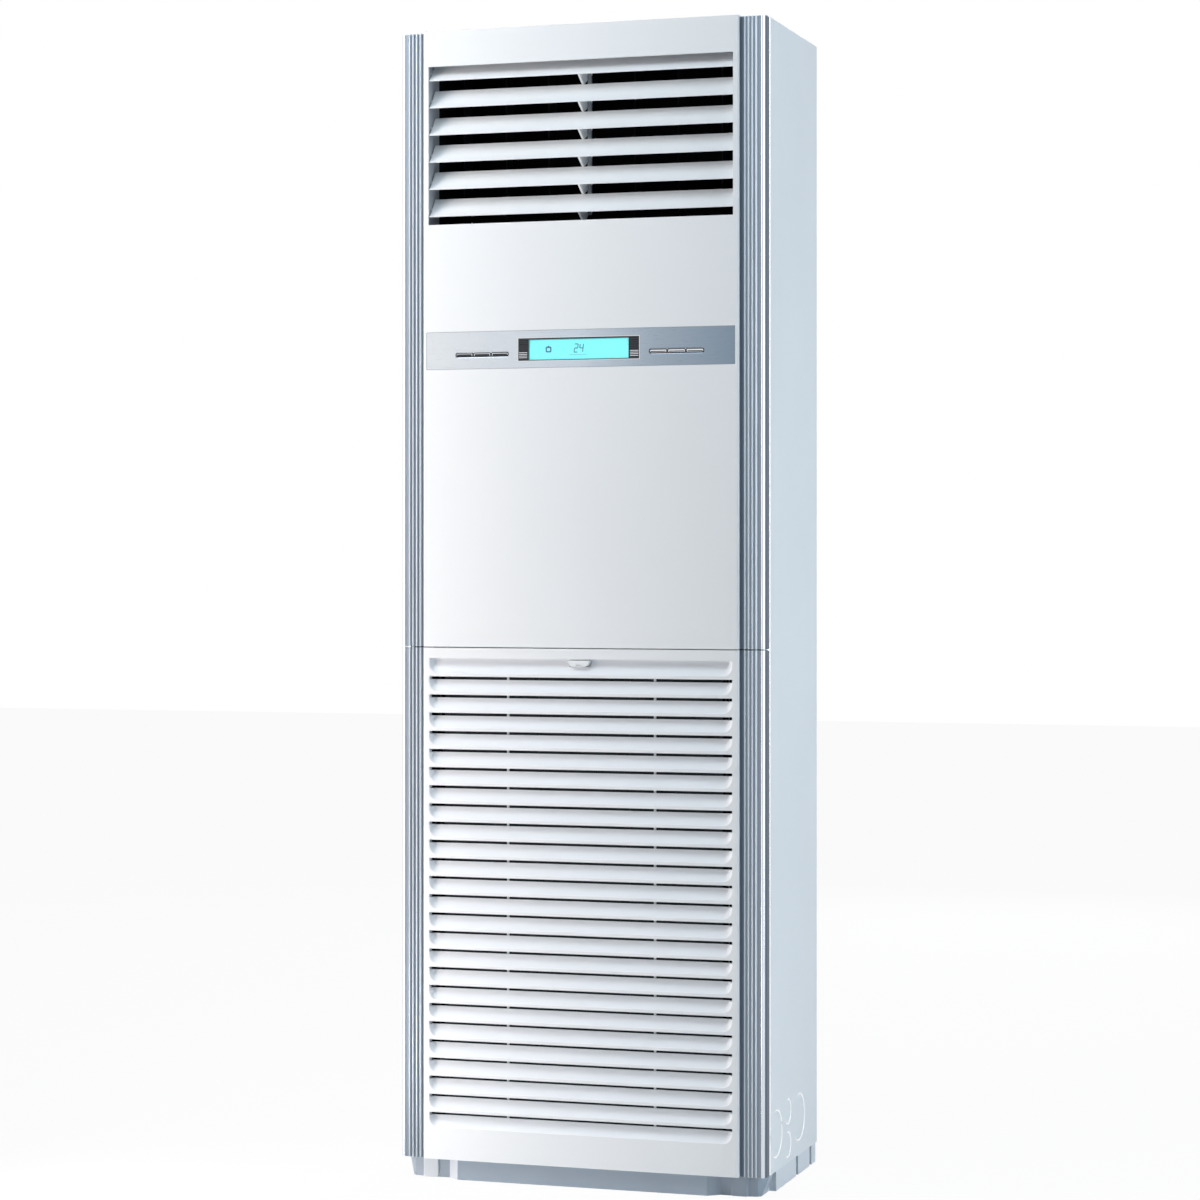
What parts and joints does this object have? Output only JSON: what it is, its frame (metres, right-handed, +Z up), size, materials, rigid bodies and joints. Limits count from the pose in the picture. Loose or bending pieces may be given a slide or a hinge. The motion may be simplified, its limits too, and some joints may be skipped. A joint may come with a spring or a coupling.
{
  "type": "floor standing air conditioner",
  "caption": "Upright room air conditioner cabinet with louvred outlet, display strip, hinged intake grille, fan and coil inside.",
  "frame": {"origin": "on the floor at the middle of the footprint", "axes": "+Z up, +Y from the front to the rear, +X to the right seen from the front"},
  "size_m": [0.61, 0.34, 1.85],
  "materials": {
    "base": "moulded, fine grain",
    "side_sheet": "smooth light grey paint",
    "galvanised": "galvanised sheet",
    "screw": "zinc plated",
    "silver_trim": "silver lacquer",
    "front_white": "smooth white",
    "duct_white": "plain",
    "duct_black": "plain",
    "silver_strip": "brushed lengthwise",
    "bezel_dark": "satin",
    "lens": "clear window",
    "lcd": "lit cyan display",
    "board_green": "circuit board",
    "link_grey": "plain",
    "motor_grey": "satin",
    "filter_blue": "net on a moulded frame",
    "wheel_dark": "pressed steel",
    "fin_aluminium": "bright fins",
    "copper": "copper tube",
    "brass_nut": "turned",
    "pan_white": "foam lined",
    "hose_grey": "soft",
    "button_chrome": "plated",
    "louvre_white": "smooth white",
    "vane_black": "plain"
  },
  "bodies": {
    "cabinet": {"base_tray": "base", "side_panel_left": "side_sheet", "side_panel_right": "side_sheet", "rear_panel": "galvanised", "top_cover": "side_sheet", "cabinet_screws": "screw", "trim_upper_left": "silver_trim", "trim_upper_right": "silver_trim", "front_panel_upper": "front_white", "outlet_frame": "duct_white", "vane_frame": "duct_black", "control_fascia": "silver_strip", "display_bezel": "bezel_dark", "display_lens": "lens", "lcd_panel": "lcd", "control_board": "board_green", "swing_motor": "motor_grey", "fan_scroll": "galvanised", "inlet_ring": "duct_black", "fan_motor": "motor_grey", "partition_plate": "galvanised", "evaporator_fins": "fin_aluminium", "evaporator_tubes": "copper", "evaporator_plates": "galvanised", "drain_pan": "pan_white", "drain_hose": "hose_grey", "gas_pipe": "copper", "liquid_pipe": "copper", "flare_nuts": "brass_nut", "electric_box": "galvanised", "electric_cover": "galvanised", "terminal_block": "duct_black", "capacitor": "link_grey"},
    "louvre_1": {"louvre_1": "louvre_white"},
    "louvre_2": {"louvre_2": "louvre_white"},
    "louvre_3": {"louvre_3": "louvre_white"},
    "louvre_4": {"louvre_4": "louvre_white"},
    "louvre_5": {"louvre_5": "louvre_white"},
    "louvre_6": {"louvre_6": "louvre_white"},
    "louvre_link": {"louvre_link": "link_grey"},
    "vane_1": {"vane_1": "vane_black"},
    "vane_2": {"vane_2": "vane_black"},
    "vane_3": {"vane_3": "vane_black"},
    "vane_4": {"vane_4": "vane_black"},
    "vane_5": {"vane_5": "vane_black"},
    "vane_6": {"vane_6": "vane_black"},
    "vane_7": {"vane_7": "vane_black"},
    "vane_link": {"vane_link": "link_grey"},
    "button_1": {"button_1": "button_chrome"},
    "button_2": {"button_2": "button_chrome"},
    "button_3": {"button_3": "button_chrome"},
    "button_4": {"button_4": "button_chrome"},
    "button_5": {"button_5": "button_chrome"},
    "button_6": {"button_6": "button_chrome"},
    "grille": {"intake_grille": "front_white", "trim_lower_left": "silver_trim", "trim_lower_right": "silver_trim"},
    "grille_latch": {"grille_latch": "front_white"},
    "air_filter": {"air_filter": "filter_blue"},
    "fan_wheel": {"fan_wheel": "wheel_dark"}
  },
  "joints": [
    {"name": "louvre_1_tilt", "type": "hinge", "parent": "cabinet", "child": "louvre_1", "pos_m": [0, -0.153, 1.7836], "axis": [1, 0, 0], "range_deg": [-28, 38]},
    {"name": "louvre_2_tilt", "type": "hinge", "parent": "cabinet", "child": "louvre_2", "pos_m": [0, -0.153, 1.7398], "axis": [1, 0, 0], "range_deg": [-28, 38]},
    {"name": "louvre_3_tilt", "type": "hinge", "parent": "cabinet", "child": "louvre_3", "pos_m": [0, -0.153, 1.696], "axis": [1, 0, 0], "range_deg": [-28, 38]},
    {"name": "louvre_4_tilt", "type": "hinge", "parent": "cabinet", "child": "louvre_4", "pos_m": [0, -0.153, 1.6522], "axis": [1, 0, 0], "range_deg": [-28, 38]},
    {"name": "louvre_5_tilt", "type": "hinge", "parent": "cabinet", "child": "louvre_5", "pos_m": [0, -0.153, 1.6084], "axis": [1, 0, 0], "range_deg": [-28, 38]},
    {"name": "louvre_6_tilt", "type": "hinge", "parent": "cabinet", "child": "louvre_6", "pos_m": [0, -0.153, 1.5646], "axis": [1, 0, 0], "range_deg": [-28, 38]},
    {"name": "louvre_link_swing", "type": "hinge", "parent": "louvre_1", "child": "louvre_link", "pos_m": [0.0034, -0.121, 1.7756], "axis": [1, 0, 0], "range_deg": [-38, 28]},
    {"name": "vane_1_swing", "type": "hinge", "parent": "cabinet", "child": "vane_1", "pos_m": [-0.21814, -0.082, 1.672], "axis": [0, 0, 1], "range_deg": [-35, 35]},
    {"name": "vane_2_swing", "type": "hinge", "parent": "cabinet", "child": "vane_2", "pos_m": [-0.14543, -0.082, 1.672], "axis": [0, 0, 1], "range_deg": [-35, 35]},
    {"name": "vane_3_swing", "type": "hinge", "parent": "cabinet", "child": "vane_3", "pos_m": [-0.07271, -0.082, 1.672], "axis": [0, 0, 1], "range_deg": [-35, 35]},
    {"name": "vane_4_swing", "type": "hinge", "parent": "cabinet", "child": "vane_4", "pos_m": [0, -0.082, 1.672], "axis": [0, 0, 1], "range_deg": [-35, 35]},
    {"name": "vane_5_swing", "type": "hinge", "parent": "cabinet", "child": "vane_5", "pos_m": [0.07271, -0.082, 1.672], "axis": [0, 0, 1], "range_deg": [-35, 35]},
    {"name": "vane_6_swing", "type": "hinge", "parent": "cabinet", "child": "vane_6", "pos_m": [0.14543, -0.082, 1.672], "axis": [0, 0, 1], "range_deg": [-35, 35]},
    {"name": "vane_7_swing", "type": "hinge", "parent": "cabinet", "child": "vane_7", "pos_m": [0.21814, -0.082, 1.672], "axis": [0, 0, 1], "range_deg": [-35, 35]},
    {"name": "vane_link_swing", "type": "hinge", "parent": "vane_1", "child": "vane_link", "pos_m": [-0.21814, -0.058, 1.555], "axis": [0, 0, 1], "range_deg": [-35, 35]},
    {"name": "button_1_press", "type": "slide", "parent": "cabinet", "child": "button_1", "axis": [0, 1, 0], "range_m": [0, 0.001], "stiffness_N_per_m": 300, "springref_m": -0.0005},
    {"name": "button_2_press", "type": "slide", "parent": "cabinet", "child": "button_2", "axis": [0, 1, 0], "range_m": [0, 0.001], "stiffness_N_per_m": 300, "springref_m": -0.0005},
    {"name": "button_3_press", "type": "slide", "parent": "cabinet", "child": "button_3", "axis": [0, 1, 0], "range_m": [0, 0.001], "stiffness_N_per_m": 300, "springref_m": -0.0005},
    {"name": "button_4_press", "type": "slide", "parent": "cabinet", "child": "button_4", "axis": [0, 1, 0], "range_m": [0, 0.001], "stiffness_N_per_m": 300, "springref_m": -0.0005},
    {"name": "button_5_press", "type": "slide", "parent": "cabinet", "child": "button_5", "axis": [0, 1, 0], "range_m": [0, 0.001], "stiffness_N_per_m": 300, "springref_m": -0.0005},
    {"name": "button_6_press", "type": "slide", "parent": "cabinet", "child": "button_6", "axis": [0, 1, 0], "range_m": [0, 0.001], "stiffness_N_per_m": 300, "springref_m": -0.0005},
    {"name": "grille_tilt", "type": "hinge", "parent": "cabinet", "child": "grille", "pos_m": [0, -0.162, 0.0405], "axis": [1, 0, 0], "range_deg": [0, 25]},
    {"name": "latch_press", "type": "slide", "parent": "grille", "child": "grille_latch", "axis": [0, 1, 0], "range_m": [0, 0.0025], "stiffness_N_per_m": 600, "springref_m": -0.001},
    {"name": "filter_lift", "type": "slide", "parent": "grille", "child": "air_filter", "axis": [0, 0, 1], "range_m": [0, 0.68]},
    {"name": "fan_spin", "type": "hinge", "parent": "cabinet", "child": "fan_wheel", "pos_m": [0, 0.04, 0.4], "axis": [0, 1, 0], "continuous": true}
  ],
  "couplings": [
    {"joint": "louvre_2_tilt", "follows": "louvre_1_tilt", "ratio": 1},
    {"joint": "louvre_3_tilt", "follows": "louvre_1_tilt", "ratio": 1},
    {"joint": "louvre_4_tilt", "follows": "louvre_1_tilt", "ratio": 1},
    {"joint": "louvre_5_tilt", "follows": "louvre_1_tilt", "ratio": 1},
    {"joint": "louvre_6_tilt", "follows": "louvre_1_tilt", "ratio": 1},
    {"joint": "louvre_link_swing", "follows": "louvre_1_tilt", "ratio": -1},
    {"joint": "vane_2_swing", "follows": "vane_1_swing", "ratio": 1},
    {"joint": "vane_3_swing", "follows": "vane_1_swing", "ratio": 1},
    {"joint": "vane_4_swing", "follows": "vane_1_swing", "ratio": 1},
    {"joint": "vane_5_swing", "follows": "vane_1_swing", "ratio": 1},
    {"joint": "vane_6_swing", "follows": "vane_1_swing", "ratio": 1},
    {"joint": "vane_7_swing", "follows": "vane_1_swing", "ratio": 1},
    {"joint": "vane_link_swing", "follows": "vane_1_swing", "ratio": -1}
  ]
}
